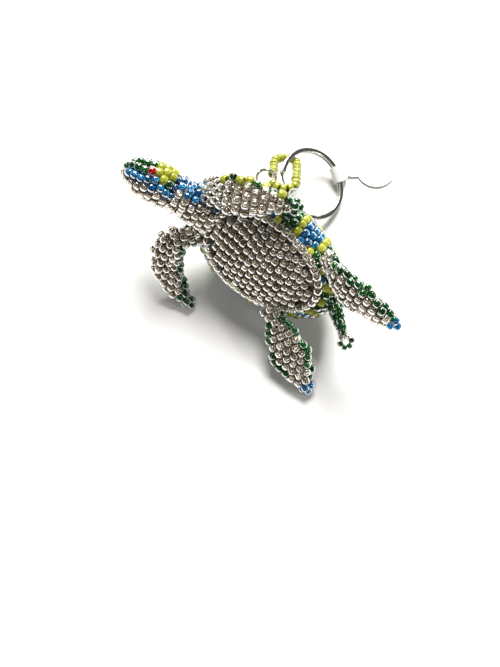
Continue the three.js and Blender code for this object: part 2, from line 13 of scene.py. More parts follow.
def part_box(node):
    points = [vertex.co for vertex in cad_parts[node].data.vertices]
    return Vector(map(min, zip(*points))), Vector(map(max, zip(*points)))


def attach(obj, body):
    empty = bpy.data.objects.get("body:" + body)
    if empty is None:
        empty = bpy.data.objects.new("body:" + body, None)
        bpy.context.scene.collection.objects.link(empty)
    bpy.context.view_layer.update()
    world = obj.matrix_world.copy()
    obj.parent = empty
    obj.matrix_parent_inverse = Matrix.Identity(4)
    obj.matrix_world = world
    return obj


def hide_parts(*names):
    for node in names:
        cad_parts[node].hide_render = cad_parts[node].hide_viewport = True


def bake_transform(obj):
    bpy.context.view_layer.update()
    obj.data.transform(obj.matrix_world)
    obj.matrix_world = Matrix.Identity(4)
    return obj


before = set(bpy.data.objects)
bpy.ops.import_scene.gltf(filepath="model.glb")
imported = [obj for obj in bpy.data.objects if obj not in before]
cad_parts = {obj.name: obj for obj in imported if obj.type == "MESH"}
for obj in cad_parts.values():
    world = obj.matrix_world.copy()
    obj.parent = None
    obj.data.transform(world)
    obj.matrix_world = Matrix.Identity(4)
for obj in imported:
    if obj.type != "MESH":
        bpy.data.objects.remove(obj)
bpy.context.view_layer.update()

MM = 0.001

# ---- sizes, in millimetres, as in the CAD part ----
SHELL_LENGTH = 43
SHELL_WIDTH = 29
DOME_DEPTH = 12.5
BELLY_HEIGHT = 8
SHELL_TAPER = 0.08
SEAM_ANGLE = 41
SEAM_HALF = 6.65
ROLL = 48
PITCH = 7
NECK_DIAMETER = 8.6
HEAD_LENGTH = 17
HEAD_HEIGHT = 11
HEAD_WIDTH = 10.4
HEAD_ROLL = 59
TAIL_ROOT_DIAMETER = 4.6
TAIL_END_DIAMETER = 2.4
TAIL_LENGTH = 6
TAIL_LOOP_DIAMETER = 4.2
TAIL_LOOP_BEAD = 1.6
RING_DIAMETER = 20
RING_WIRE_WIDTH = 1.2
RING_WIRE_HEIGHT = 0.7
RING_TURN_GAP = 0.16
RING_STEP_TURN = 200
JUMP_RING_WIRE = 0.8

# ---- the weave ----
BEAD = 2.14          # diameter of a seed bead
BEAD_LENGTH = 1.66
BEAD_HOLE = 0.84
ROW_PITCH = 1.8      # from one row of beads to the next
SIDE_PITCH = 2.12    # from bead to bead within a row
LIME_SCALE = 1.14    # the opaque lime beads are larger than the glass ones
EDGE_BEAD = 2.3      # larger beads along the seam of the shell
EYE_BEAD = 2.4

rng = np.random.default_rng(5)


def unit(v):
    v = np.asarray(v, float)
    return v / np.linalg.norm(v, axis=-1, keepdims=True)


def turn_x(degrees):
    c, s = math.cos(math.radians(degrees)), math.sin(math.radians(degrees))
    return np.array([[1, 0, 0], [0, c, -s], [0, s, c]])


def turn_y(degrees):
    c, s = math.cos(math.radians(degrees)), math.sin(math.radians(degrees))
    return np.array([[c, 0, s], [0, 1, 0], [-s, 0, c]])


def vertices(node):
    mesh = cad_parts[node].data
    co = np.zeros(len(mesh.vertices) * 3)
    mesh.vertices.foreach_get("co", co)
    return co.reshape(-1, 3)


# ---- where the turtle lies ----
NECK_DIRECTION = unit([-0.94, 0.04, 0.34])
NECK_SEAT = np.array([-SHELL_LENGTH / 2 * 0.92, 1.4, BELLY_HEIGHT * 0.4])
NECK_CENTRE = NECK_SEAT + NECK_DIRECTION * (NECK_DIAMETER / 2 + 0.75)
HEAD_DIRECTION = unit([-0.955, -0.02, 0.295])
HEAD_CENTRE = NECK_CENTRE + HEAD_DIRECTION * (HEAD_LENGTH / 2 + NECK_DIAMETER / 2 - 4.2)

LAY = turn_y(PITCH) @ turn_x(ROLL)
neck_low, neck_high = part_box("neck_skin")
SHIFT = (np.array(neck_low) + np.array(neck_high)) / 2 / MM - LAY @ NECK_CENTRE


def place(points):
    """Points in the turtle's frame, in millimetres, to the row frame, in metres."""
    return (np.asarray(points) @ LAY.T + SHIFT) * MM


def turned(directions):
    return np.asarray(directions) @ LAY.T


# ---- materials ----
def new_material(name):
    mat = bpy.data.materials.new(name)
    mat.use_nodes = True
    nodes = mat.node_tree.nodes
    return mat, nodes, mat.node_tree.links, nodes["Principled BSDF"]


def ripple(nodes, links, shader, scale, strength, distance, detail=2.0):
    """A fine unevenness of the surface, in real size."""
    place_node = nodes.new("ShaderNodeTexCoord")
    noise = nodes.new("ShaderNodeTexNoise")
    noise.inputs["Scale"].default_value = scale
    noise.inputs["Detail"].default_value = detail
    bump = nodes.new("ShaderNodeBump")
    bump.inputs["Strength"].default_value = strength
    bump.inputs["Distance"].default_value = distance
    links.new(place_node.outputs["Object"], noise.inputs["Vector"])
    links.new(noise.outputs["Fac"], bump.inputs["Height"])
    links.new(bump.outputs["Normal"], shader.inputs["Normal"])
    return noise


def toned(nodes, links, shader, dark, light):
    """Each bead takes its own tone between two colours."""
    tone = nodes.new("ShaderNodeAttribute")
    tone.attribute_name = "bead_tone"
    ramp = nodes.new("ShaderNodeValToRGB")
    ramp.color_ramp.elements[0].color = (*dark, 1)
    ramp.color_ramp.elements[1].color = (*light, 1)
    links.new(tone.outputs["Fac"], ramp.inputs["Fac"])
    links.new(ramp.outputs["Color"], shader.inputs["Base Color"])


def bead_glass(name, dark, light, transmission, roughness=0.04, coat=0.0):
    mat, nodes, links, shader = new_material(name)
    toned(nodes, links, shader, dark, light)
    shader.inputs["Transmission Weight"].default_value = transmission
    shader.inputs["Roughness"].default_value = roughness
    shader.inputs["IOR"].default_value = 1.5
    shader.inputs["Coat Weight"].default_value = coat
    shader.inputs["Coat Roughness"].default_value = 0.05
    ripple(nodes, links, shader, 2200, 0.7, 0.00008)
    return mat


def bead_lining(name, dark, light, metallic, roughness):
    mat, nodes, links, shader = new_material(name)
    toned(nodes, links, shader, dark, light)
    shader.inputs["Metallic"].default_value = metallic
    shader.inputs["Roughness"].default_value = roughness
    ripple(nodes, links, shader, 3000, 0.9, 0.00006)
    return mat


BEAD_LOOKS = {
    "clear": (bead_glass("clear_glass", (0.62, 0.54, 0.42), (0.94, 0.88, 0.78), 0.9),
              bead_lining("silver_lining", (0.28, 0.22, 0.15), (0.88, 0.80, 0.68), 1.0, 0.1)),
    "green": (bead_glass("green_glass", (0.002, 0.045, 0.006), (0.01, 0.16, 0.025), 0.6),
              bead_lining("green_lining", (0.005, 0.05, 0.012), (0.10, 0.45, 0.16), 0.8, 0.15)),
    "blue": (bead_glass("blue_glass", (0.003, 0.07, 0.22), (0.015, 0.26, 0.54), 0.65),
             bead_lining("blue_lining", (0.01, 0.10, 0.22), (0.30, 0.66, 0.85), 1.0, 0.14)),
    "yellow": (bead_glass("lime_glass", (0.25, 0.27, 0.01), (0.38, 0.39, 0.025), 0.0, 0.18, 0.6),
               bead_lining("lime_hole", (0.25, 0.28, 0.01), (0.3, 0.33, 0.02), 0.0, 0.5)),
    "red": (bead_glass("red_glass", (0.55, 0.01, 0.01), (0.75, 0.03, 0.02), 0.8),
            bead_lining("red_lining", (0.40, 0.05, 0.03), (0.55, 0.08, 0.05), 1.0, 0.25)),
}


# ---- one bead ----
def bead_template(radius, length, hole, around=14, section=14):
    """A seed bead about the y axis: a rounded ring of glass with a square hole."""
    verts, lining = [], []
    middle, half = (radius + hole) / 2, (radius - hole) / 2
    power = 2 / 2.1
    for i in range(around):
        a = 2 * math.pi * i / around
        square = (abs(math.cos(a)) ** 4 + abs(math.sin(a)) ** 4) ** -0.25
        for k in range(section):
            t = 2 * math.pi * (k + 0.5) / section
            c, s = math.cos(t), math.sin(t)
            r = middle + half * math.copysign(abs(c) ** power, c)
            y = length / 2 * math.copysign(abs(s) ** power, s)
            if c < 0:
                r += hole * (square - 1) * abs(c) * 0.8
            verts.append((r * math.cos(a), y, r * math.sin(a)))
    faces = []
    for i in range(around):
        for k in range(section):
            l, j = (k + 1) % section, (i + 1) % around
            faces.append((i * section + k, i * section + l, j * section + l, j * section + k))
            t = 2 * math.pi * (k + 1) / section
            lining.append(1 if math.cos(t) < -0.35 else 0)
    return np.array(verts), np.array(faces), np.array(lining)


class Beads:
    """Beads gathered by the piece that they go into. Places and directions are in the row frame."""

    def __init__(self):
        self.pieces = {}

    def add(self, piece, colour, centres, axes, normals,
            radius=BEAD / 2, length=BEAD_LENGTH, hole=BEAD_HOLE / 2):
        rows = self.pieces.setdefault((piece, colour), [])
        for c, a, n in zip(np.atleast_2d(centres), np.atleast_2d(axes), np.atleast_2d(normals)):
            rows.append((c, a, n, radius, length, hole))

    def mesh(self, piece, colour):
        verts, faces, slots, tones = [], [], [], []
        count = 0
        for c, a, n, radius, length, hole in self.pieces[(piece, colour)]:
            v, f, lining = bead_template(radius, length, hole)
            a = unit(a + rng.normal(0, 0.05, 3))
            n = unit(n - a * np.dot(n, a))
            b = np.cross(a, n)
            spin = rng.uniform(0, 2 * math.pi)
            n, b = n * math.cos(spin) + b * math.sin(spin), b * math.cos(spin) - n * math.sin(spin)
            size = (1 + rng.normal(0, 0.025)) * (LIME_SCALE if colour == "yellow" and piece != "loop" else 1)
            centre = c + rng.normal(0, 0.04 * MM, 3)
            verts.append(centre + (v[:, :1] * n + v[:, 1:2] * a + v[:, 2:] * b) * MM * size)
            faces.append(f + count)
            slots.append(lining)
            tones.append(np.full(len(v), rng.uniform(0, 1)))
            count += len(v)
        name = f"{piece}_{colour}_beads"
        data = bpy.data.meshes.new(name)
        data.from_pydata(np.concatenate(verts).tolist(), [], np.concatenate(faces).tolist())
        data.polygons.foreach_set("material_index", np.concatenate(slots))
        data.polygons.foreach_set("use_smooth", np.ones(len(data.polygons), bool))
        data.attributes.new("bead_tone", "FLOAT", "POINT").data.foreach_set("value", np.concatenate(tones))
        for mat in BEAD_LOOKS[colour]:
            data.materials.append(mat)
        data.update()
        obj = bpy.data.objects.new(name, data)
        bpy.context.scene.collection.objects.link(obj)
        return obj


beads = Beads()


def lengths(points):
    return np.concatenate([[0], np.cumsum(np.linalg.norm(np.diff(points, axis=0), axis=1))])


def weave(surface, closed, piece, colour, row_pitch=ROW_PITCH, side_pitch=SIDE_PITCH, drop=None, **size):
    """Brick stitch over a surface: rows of beads side by side, each row half a bead along from the last.

    surface(u, v) gives points in the turtle's frame, v running across a row. closed(u) says whether
    that row goes all the way round. piece(u) and colour(u, v, point) name where a bead goes.
    """
    samples = np.linspace(0, 1, 161)
    run = lengths(surface(samples, np.full_like(samples, 0.5)))
    rows = max(1, round(run[-1] / row_pitch))
    for row in range(rows + 1):
        u = float(np.interp(run[-1] * row / rows, run, samples))
        around = lengths(surface(np.full_like(samples, u), samples))
        ring = closed(u)
        count = max(3 if ring else 1, round(around[-1] / side_pitch) + (0 if ring else 1 - row % 2))
        if around[-1] < 0.4 * side_pitch:
            shares = [0.5]
        elif ring:
            shares = (np.arange(count) + 0.5 * (row % 2)) / count
        elif row % 2 or count < 2:
            shares = (np.arange(count) + 0.5) / count
        else:
            shares = np.arange(count) / (count - 1)
        for share in shares:
            v = float(np.interp(share * around[-1], around, samples))
            e = 2e-3
            one = lambda a, b: surface(np.array([a]), np.array([b]))[0]
            point = one(u, v)
            if drop is not None and drop(point):
                continue
            du = one(min(u + e, 1), v) - one(max(u - e, 0), v)
            dv = one(u, v + e) - one(u, v - e)
            if np.linalg.norm(dv) < 1e-9:
                dv = np.array([0, 1, 0])
            du, dv = unit(du), unit(dv)
            name = colour(u, v % 1 if ring else v, point)
            beads.add(piece(u) if callable(piece) else piece, name, place(point),
                      turned(unit(du - dv * np.dot(du, dv))), turned(unit(np.cross(du, dv))), **size)


def string(points, normals, piece, colour, count, radius, length, hole=0.35):
    """Beads threaded one after another along a line in the turtle's frame."""
    run = lengths(points)
    for k in range(count):
        at = run[-1] * (k + 0.5) / count
        pick = lambda rows, d: np.array([np.interp(d, run, rows[:, i]) for i in range(3)])
        axis = pick(points, min(at + 0.2, run[-1])) - pick(points, max(at - 0.2, 0))
        name = colour(k / count) if callable(colour) else colour
        beads.add(piece, name, place(pick(points, at)), turned(unit(axis)),
                  turned(unit(pick(normals, at))), radius, length, hole)


# ---- shell ----
def shell_point(around, height, inset):
    """around and height in radians, as in the CAD part."""
    around, height = np.broadcast_arrays(around, height)
    c = np.where(height > 0, DOME_DEPTH, BELLY_HEIGHT) - inset
    ring = np.cos(height)
    x = -(SHELL_LENGTH / 2 - inset) * np.cos(around) * ring
    y = (SHELL_WIDTH / 2 - inset) * np.sin(around) * (1 + SHELL_TAPER * np.cos(around)) * ring
    return np.stack([x, y, -c * np.sin(height)], -1)


def from_ends(p, w, inset):
    """The same surface by rings square to the body: p from head to tail, w round the body."""
    height = np.arcsin(np.clip(np.sin(p) * np.sin(w), -1, 1))
    return shell_point(np.arctan2(np.sin(p) * np.cos(w), np.cos(p)), height, inset)


CARAPACE_FIRST = 7       # degrees from the head end to the carapace's first ring of beads
CARAPACE_SPAN = 166      # degrees from its first ring to its last
PLASTRON_MARGIN = 1.0    # degrees between the seam's end and the plastron's first row


def carapace_surface(u, v):
    edge = math.sin(math.radians(SEAM_ANGLE - SEAM_HALF))
    p = np.radians(CARAPACE_FIRST + CARAPACE_SPAN * u)
    low = np.arcsin(np.clip(-edge / np.sin(p), -1, 1))
    return from_ends(p, low + (math.pi - 2 * low) * v, BEAD / 2)


def carapace_closed(u):
    ring = math.sin(math.radians(CARAPACE_FIRST + CARAPACE_SPAN * u))
    return ring < math.sin(math.radians(SEAM_ANGLE - SEAM_HALF))


def plastron_surface(u, v):
    edge = math.sin(math.radians(SEAM_ANGLE + SEAM_HALF))
    first = math.degrees(math.asin(edge)) + PLASTRON_MARGIN
    p = np.radians(first + (180 - 2 * first) * u)
    wide = np.arccos(np.clip(edge / np.sin(p), -1, 1))
    return from_ends(p, -math.pi / 2 + wide * (2 * v - 1), BEAD / 2)


RIM_DEPTH = -2.6         # the rim's pattern reaches down to here
RIM_PATCH_AT = 109       # degrees round from the head to the middle of one blue patch of the rim
RIM_PATCH_STEP = 40      # degrees from one blue patch to the next
RIM_BLUE_HALF = 9
RIM_YELLOW_HALF = 12.8
SCUTES = [(-11.5, 0), (0, 0), (11.5, 0), (-15, 6.6), (-5.6, 7.4), (5.6, 7.4), (15, 6.2)]
SCUTE_STRETCH = 1.15
SCUTE_BLUE = 2.6
SCUTE_YELLOW = 4.3


def carapace_colour(u, v, point):
    """Blue patches ringed with yellow on green: round the rim, along the spine and down each side."""
    x, y, z = point
    around = math.degrees(math.atan2(abs(y) / SHELL_WIDTH, -x / SHELL_LENGTH))
    if z > RIM_DEPTH:
        half_step = RIM_PATCH_STEP / 2
        phase = abs((around - RIM_PATCH_AT + half_step) % RIM_PATCH_STEP - half_step)
        return "blue" if phase < RIM_BLUE_HALF else "yellow" if phase < RIM_YELLOW_HALF else "green"
    best = min(math.hypot((x - cx) / SCUTE_STRETCH, abs(y) - cy) for cx, cy in SCUTES)
    return "blue" if best < SCUTE_BLUE else "yellow" if best < SCUTE_YELLOW else "green"


weave(carapace_surface, carapace_closed, "carapace", carapace_colour)
weave(plastron_surface, lambda u: False, "plastron", lambda u, v, p: "clear")

turns = np.linspace(0, 2 * math.pi, 181)
seam = shell_point(turns, -math.radians(SEAM_ANGLE), 0.55)
seam_out = seam - seam.mean(0)
string(seam, seam_out, "plastron_edging", "clear", 44, EDGE_BEAD / 2, 1.9)

# ---- head ----
head_x = -HEAD_DIRECTION
head_z = unit(np.array([0, 0, 1]) - head_x * head_x[2])
HEAD_BASIS = np.stack([head_x, np.cross(head_z, head_x), head_z], 1) @ turn_x(HEAD_ROLL)


def head_point(along, around, inset=0.0):
    """around in degrees from the crown towards the animal's left."""
    along, around = np.broadcast_arrays(along, np.radians(around))
    swell = np.sqrt(np.clip(1 - np.abs(2 * along - 1) ** 2.3, 0, None)) * (0.86 + 0.19 * along)
    side = np.maximum(HEAD_WIDTH / 2 * swell - inset, 0.25)
    up = np.maximum(HEAD_HEIGHT / 2 * swell - inset, 0.25)
    forward_by = (along - 0.5) * (HEAD_LENGTH - 2 * inset)
    local = np.stack([forward_by, side * np.sin(around), -up * np.cos(around)], -1)
    return local @ HEAD_BASIS.T + HEAD_CENTRE


HEAD_FIRST = 0.035       # shares of the head's length that its weave starts at and spans
HEAD_SPAN = 0.8
EYE_ALONG = 0.42
EYE_AROUND = 64          # degrees from the crown
STRIPE_HALF = 19         # half the width of the blue stripe, in degrees


def head_surface(u, v):
    return head_point(HEAD_FIRST + HEAD_SPAN * np.asarray(u), 360 * np.asarray(v) - 180, 0.8)


eyes = [head_point(EYE_ALONG, side * EYE_AROUND, 0.45) for side in (1, -1)]


def head_colour(u, v, point):
    around, along = abs(360 * v - 180), HEAD_FIRST + HEAD_SPAN * u
    stripe = 95 + 12 * along
    if around > stripe + STRIPE_HALF:
        return "clear"
    if along > 0.74 or around > stripe - STRIPE_HALF:
        return "blue"
    return "yellow" if along > 0.47 and around < stripe - 30 else "green"


weave(head_surface, lambda u: True, "head", head_colour,
      drop=lambda p: min(np.linalg.norm(p - e) for e in eyes) < 1.5)
for side, eye in zip(("left_eye", "right_eye"), eyes):
    outward = unit(eye - (HEAD_CENTRE + head_x * (EYE_ALONG - 0.5) * HEAD_LENGTH))
    beads.add(side, "red", place(eye), turned(head_x), turned(outward), EYE_BEAD / 2, 1.9, 0.4)

# ---- neck: two sleeves that meet at the neck's centre ----
neck_back = NECK_SEAT - NECK_DIRECTION * 2.2
neck_front = HEAD_CENTRE + head_x * HEAD_LENGTH * 0.385


def sleeve(start, end, first, last):
    x = unit(end - start)

    def surface(u, v):
        u, a = np.broadcast_arrays(np.asarray(u, float), np.radians(360 * np.asarray(v) - 180))
        radius = (first + (last - first) * u)[..., None]
        crown = -HEAD_BASIS[:, 2]
        up = unit(crown - x * np.dot(crown, x))
        left = np.cross(up, x) * -1
        outward = np.cos(a)[..., None] * up + np.sin(a)[..., None] * left
        return start + (end - start) * u[..., None] + radius * outward
    return surface


def neck_colour(u, v, point):
    return "blue" if abs(360 * v - 180) < 84 else "clear"


NAPE_RADII = (4.05, 4.25)
NECK_RADII = (4.25, 4.8)
weave(sleeve(neck_front, NECK_CENTRE, *NAPE_RADII), lambda u: True, "nape", neck_colour)
weave(sleeve(NECK_CENTRE, neck_back, *NECK_RADII), lambda u: True, "neck", neck_colour)


# ---- flippers ----
def centripetal(points, samples=400):
    """A centripetal Catmull-Rom curve through points, as the CAD part's."""
    points = [np.array(p, float) for p in points]
    out = []
    for i in range(len(points) - 1):
        p1, p2 = points[i], points[i + 1]
        p0 = points[i - 1] if i > 0 else 2 * p1 - p2
        p3 = points[i + 2] if i + 2 < len(points) else 2 * p2 - p1
        d0, d1, d2 = (np.dot(b - a, b - a) ** 0.25 for a, b in ((p0, p1), (p1, p2), (p2, p3)))
        t1 = ((p1 - p0) / d0 - (p2 - p0) / (d0 + d1) + (p2 - p1) / d1) * d1
        t2 = ((p2 - p1) / d1 - (p3 - p1) / (d1 + d2) + (p3 - p2) / d2) * d1
        t = np.linspace(0, 1, samples // (len(points) - 1) + 1)[:, None]
        c2, c3 = -3 * p1 + 3 * p2 - 2 * t1 - t2, 2 * p1 - 2 * p2 + t1 + t2
        out.append((p1 + t1 * t + c2 * t ** 2 + c3 * t ** 3)[(1 if i else 0):])
    return np.concatenate(out)


def course(root, *steps):
    start = np.array([root[0] * SHELL_LENGTH / 2, root[1] * SHELL_WIDTH / 2, root[2] * BELLY_HEIGHT])
    return [start, *[start + np.array(step) for step in steps]]


FLIPPERS = {
    "front_right_flipper": dict(
        course=course([-0.9, -0.47, 0.6],
                      [-2.2, -2.4, 1.2], [-2.2, -8, 1.6], [2, -13.2, 1], [8.6, -16.5, 0.3]),
        face=[0.1, 0.35, 0.93], widths=[6.6, 9.2, 9.4, 7.4, 3.6], tip="green", edges=("green", "clear"),
        rim=0.84),
    "front_left_flipper": dict(
        course=course([-0.86, 0.6, 0.72], [4.4, 3.2, 1.9], [10.6, 6, 0.8], [17.6, 8, -2.2]),
        face=[0.1, 0.5, 0.85], widths=[8, 10.4, 9.6, 6.4, 3.6], tip="green", edges=("yellow", "clear"),
        rim=0.66),
    "rear_left_flipper": dict(
        course=course([0.68, 0.72, 0.62], [3.8, -0.4, 2.6], [11, -0.2, 4.4], [18.8, 0, 4.6]),
        face=[0.08, -0.35, 0.93], widths=[6, 9.4, 11, 7.8, 4.4], tip="blue", edges=("green", "clear"),
        rim=0.5),
    "rear_right_flipper": dict(
        course=course([0.5, -0.74, 0.72], [5.2, -2.6, 1.8], [11.2, -6.2, 2.4], [16.9, -9.4, 3]),
        face=[0.05, 0.25, 0.95], widths=[6.4, 9.4, 11.6, 9.4, 4], tip="blue", edges=("green", "green"),
        rim=0.8),
}


ROOT_REACH = 2.6     # how far each flipper's weave runs on into the shell
ROOT_SHARE = 0.1     # share of a flipper's length whose beads go into its root piece
BENDS = {
    "neck": ("shell", "neck", NECK_SEAT, NECK_CENTRE - NECK_DIRECTION * 1.0),
    "nape": ("neck", "head", NECK_CENTRE + HEAD_DIRECTION * 0.5, NECK_CENTRE + HEAD_DIRECTION * 4),
}
cores = {}


def flipper(name, spec):
    line = centripetal(spec["course"])
    run = lengths(line)
    tangents = unit(np.gradient(line, axis=0))
    face = np.array(spec["face"])
    widths = spec["widths"]

    def at(s, sideways, out):
        s = np.asarray(s, float)
        d = np.clip(s, 0, 1) * run[-1]
        point = np.stack([np.interp(d, run, line[:, i]) for i in range(3)], -1)
        tangent = unit(np.stack([np.interp(d, run, tangents[:, i]) for i in range(3)], -1))
        normal = unit(face - tangent * (tangent @ face)[..., None])
        side = np.cross(tangent, normal)
        beyond = ((s - np.clip(s, 0, 1)) * run[-1])[..., None] * tangent
        return point + beyond + side * np.asarray(sideways)[..., None] + normal * np.asarray(out)[..., None]

    def half_width(s):
        t = np.clip(s, 0, 1) * (len(widths) - 1)
        i = np.minimum(np.floor(t).astype(int), len(widths) - 2)
        ease = (1 - np.cos(np.pi * (t - i))) / 2
        w = np.array(widths, float)
        return (w[i] + (w[i + 1] - w[i]) * ease) / 2

    first, last = -ROOT_REACH / run[-1], 0.985
    thick = BEAD / 2 + 0.12

    def surface(u, v):
        s = first + (last - first) * np.asarray(u, float)
        s, a = np.broadcast_arrays(s, 2 * np.pi * (np.asarray(v, float) + 0.25))
        wide = half_width(s) - BEAD / 2
        flat = lambda c: np.sign(c) * np.abs(c) ** 0.8
        return at(s, wide * flat(np.cos(a)), thick * flat(np.sin(a)))

    def colour(u, v, point):
        sideways, out = math.cos(2 * math.pi * (v + 0.25)), math.sin(2 * math.pi * (v + 0.25))
        edge = spec["edges"][1 if sideways > 0 else 0]
        s = first + (last - first) * u
        rim = 0.84 if edge == "clear" else spec["rim"]
        if abs(sideways) > rim and s > 0.04 and (out < 0.1 or edge != "clear"):
            return ("yellow" if int(s * 9) % 2 else "green") if edge == "yellow" else edge
        if out > 0:
            return spec["tip"] if s > 0.9 else "clear"
        return "yellow" if abs(sideways) < 0.35 and 0.15 < s < 0.8 else "green"

    def piece(u):
        return name + ("_root" if first + (last - first) * u < ROOT_SHARE else "")

    weave(surface, lambda u: True, piece, colour)
    bend = [at(np.array([s]), np.zeros(1), np.zeros(1))[0] for s in (first * 0.6, ROOT_SHARE)]
    BENDS[name + "_root"] = ("shell", name, *bend)
    core_turns = np.linspace(0, 2 * np.pi, 16, endpoint=False)
    cores[name] = [[at(np.array([s]), np.array([max(half_width(s) - BEAD, 0.4) * math.cos(a)]),
                       np.array([0.1 * math.sin(a)]))[0] for a in core_turns]
                   for s in np.linspace(0.02, 0.93, 14)]
    for spread, reach in ((-1.15, 1.0), (1.15, 1.0), (0, 1.055)):
        tangent = unit(tangents[-1])
        centre = at(np.array([reach]), np.array([spread]), np.array([0.0]))[0]
        beads.add(name + "_tip", spec["tip"], place(centre), turned(tangent), turned(face))


for flipper_name, flipper_spec in FLIPPERS.items():
    flipper(flipper_name, flipper_spec)

# ---- tail ----
TAIL_DIRECTION = unit([0.78, -0.36, 0.5])
TAIL_ROOT = np.array([SHELL_LENGTH / 2 + 0.1, 0.2, BELLY_HEIGHT * 0.36])
TAIL_REACH = 2.2     # how far the tail's weave runs on into the shell
tail_side = unit(np.cross(TAIL_DIRECTION, [0, 0, 1]))
tail_up = np.cross(tail_side, TAIL_DIRECTION)


def tail_surface(u, v):
    u, a = np.broadcast_arrays(np.asarray(u, float), 2 * np.pi * np.asarray(v, float))
    radius = (TAIL_ROOT_DIAMETER / 2 - 0.8) * (1 - u) + (TAIL_END_DIAMETER / 2 - 0.7) * u
    ring = np.cos(a)[..., None] * tail_side + np.sin(a)[..., None] * tail_up
    along = u * (TAIL_LENGTH + TAIL_REACH) - TAIL_REACH
    return TAIL_ROOT + TAIL_DIRECTION * along[..., None] + ring * radius[..., None]


BENDS["tail_root"] = ("shell", "tail",
                      TAIL_ROOT - TAIL_DIRECTION * TAIL_REACH, TAIL_ROOT + TAIL_DIRECTION * 0.5)
weave(tail_surface, lambda u: True, lambda u: "tail_root" if u < 0.3 else "tail", lambda u, v, p: "green",
      row_pitch=1.5, side_pitch=1.9, radius=0.92, length=1.4, hole=0.34)

curl_axis = unit([0.1, 0.5, 0.85])
curl_a = unit(TAIL_DIRECTION - curl_axis * np.dot(TAIL_DIRECTION, curl_axis))
curl_b = np.cross(curl_axis, curl_a)
curl_centre = TAIL_ROOT + TAIL_DIRECTION * (TAIL_LENGTH + TAIL_LOOP_DIAMETER / 2 + 0.3)
curl = curl_centre + (TAIL_LOOP_DIAMETER - TAIL_LOOP_BEAD) / 2 * 1.1 * (
    np.cos(turns)[:, None] * curl_a + np.sin(turns)[:, None] * curl_b)
string(curl, np.tile(curl_axis, (len(curl), 1)), "tail_loop",
       lambda share: "clear" if 0.3 < share < 0.55 else "green", 6, 0.82, 1.25, 0.3)


# ---- hanging loop ----
def thin_axis(points):
    """The direction in which a cloud of points is thinnest, and its centre."""
    centre = points.mean(0)
    return centre, np.linalg.svd(points - centre, full_matrices=False)[2][2]


loop_beads = sorted(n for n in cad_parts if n.startswith("loop_bead_"))
for node in loop_beads:
    centre, axis = thin_axis(vertices(node))
    other = unit(np.cross(axis, [0.3, 0.2, 0.9]))
    beads.add("loop", "yellow", centre, axis, other, 1.28, 1.62, 0.42)

# ---- every gathered bead becomes part of a piece ----
RIDES = {
    "carapace": "shell", "plastron": "shell", "plastron_edging": "shell", "head": "head",
    "left_eye": "head", "right_eye": "head", "tail": "tail", "tail_loop": "tail", "loop": "hanging_loop",
}
for flipper_name in FLIPPERS:
    RIDES[flipper_name] = flipper_name
    RIDES[flipper_name + "_tip"] = flipper_name
STANDS_FOR = {
    ("carapace", "green"): ["carapace_skin"],
    ("plastron", "clear"): ["plastron_skin"],
    ("plastron_edging", "clear"): ["plastron_edging"],
    ("neck", "clear"): ["neck_skin"],
    ("head", "green"): ["head_crown"],
    ("head", "blue"): ["left_cheek", "right_cheek"],
    ("head", "clear"): ["jaw_and_throat"],
    ("left_eye", "red"): ["left_eye"],
    ("right_eye", "red"): ["right_eye"],
    ("tail", "green"): ["tail_skin"],
    ("tail_loop", "green"): ["tail_loop"],
    ("loop", "yellow"): loop_beads,
}
for flipper_name, flipper_spec in FLIPPERS.items():
    STANDS_FOR[(flipper_name, "clear")] = [flipper_name + "_face"]
    STANDS_FOR[(flipper_name, "green")] = [
        flipper_name + part for part in ("_back", "_front_edging", "_rear_edging")]
    STANDS_FOR[(flipper_name + "_tip", flipper_spec["tip"])] = [flipper_name + "_tip"]
for piece, colour in beads.pieces:
    obj = beads.mesh(piece, colour)
    if piece in BENDS:
        a, b, start, end = BENDS[piece]
        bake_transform(obj)
    else:
        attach(obj, RIDES[piece])
    if (piece, colour) in STANDS_FOR:
        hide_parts(*STANDS_FOR[(piece, colour)])


# ---- metal, thread, card and fibre ----
def nickel():
    mat, nodes, links, shader = new_material("nickel_plate")
    shader.inputs["Metallic"].default_value = 1.0
    noise = ripple(nodes, links, shader, 2600, 0.12, 0.00005, 6)
    ramp = nodes.new("ShaderNodeValToRGB")
    ramp.color_ramp.elements[0].color = (0.42, 0.41, 0.39, 1)
    ramp.color_ramp.elements[1].color = (0.66, 0.65, 0.62, 1)
    links.new(noise.outputs["Fac"], ramp.inputs["Fac"])
    links.new(ramp.outputs["Color"], shader.inputs["Base Color"])
    rough = nodes.new("ShaderNodeMapRange")
    rough.inputs["To Min"].default_value = 0.14
    rough.inputs["To Max"].default_value = 0.3
    links.new(noise.outputs["Fac"], rough.inputs["Value"])
    links.new(rough.outputs["Result"], shader.inputs["Roughness"])
    return mat


def plain(name, dark, light, roughness, scale, strength, distance, transmission=0.0):
    mat, nodes, links, shader = new_material(name)
    noise = ripple(nodes, links, shader, scale, strength, distance, 5)
    ramp = nodes.new("ShaderNodeValToRGB")
    ramp.color_ramp.elements[0].color = (*dark, 1)
    ramp.color_ramp.elements[1].color = (*light, 1)
    links.new(noise.outputs["Fac"], ramp.inputs["Fac"])
    links.new(ramp.outputs["Color"], shader.inputs["Base Color"])
    shader.inputs["Roughness"].default_value = roughness
    shader.inputs["Transmission Weight"].default_value = transmission
    return mat


NICKEL = nickel()
# The stuffing fibre is a dark taupe: partly its own colour, partly painted shade that darkens the gaps
# between the beads and what shows through the glass.
FIBRE_DARKENED_AS_SHADE = plain("stuffing_fibre_darkened_as_shade", (0.26, 0.22, 0.17), (0.50, 0.44, 0.36), 0.95, 900, 0.8, 0.0006)
NYLON = plain("clear_nylon", (0.86, 0.88, 0.88), (0.97, 0.98, 0.98), 0.12, 3000, 0.1, 0.00005, 0.75)
CARD = plain("white_card", (0.88, 0.88, 0.87), (0.95, 0.95, 0.94), 0.7, 2400, 0.25, 0.00006)
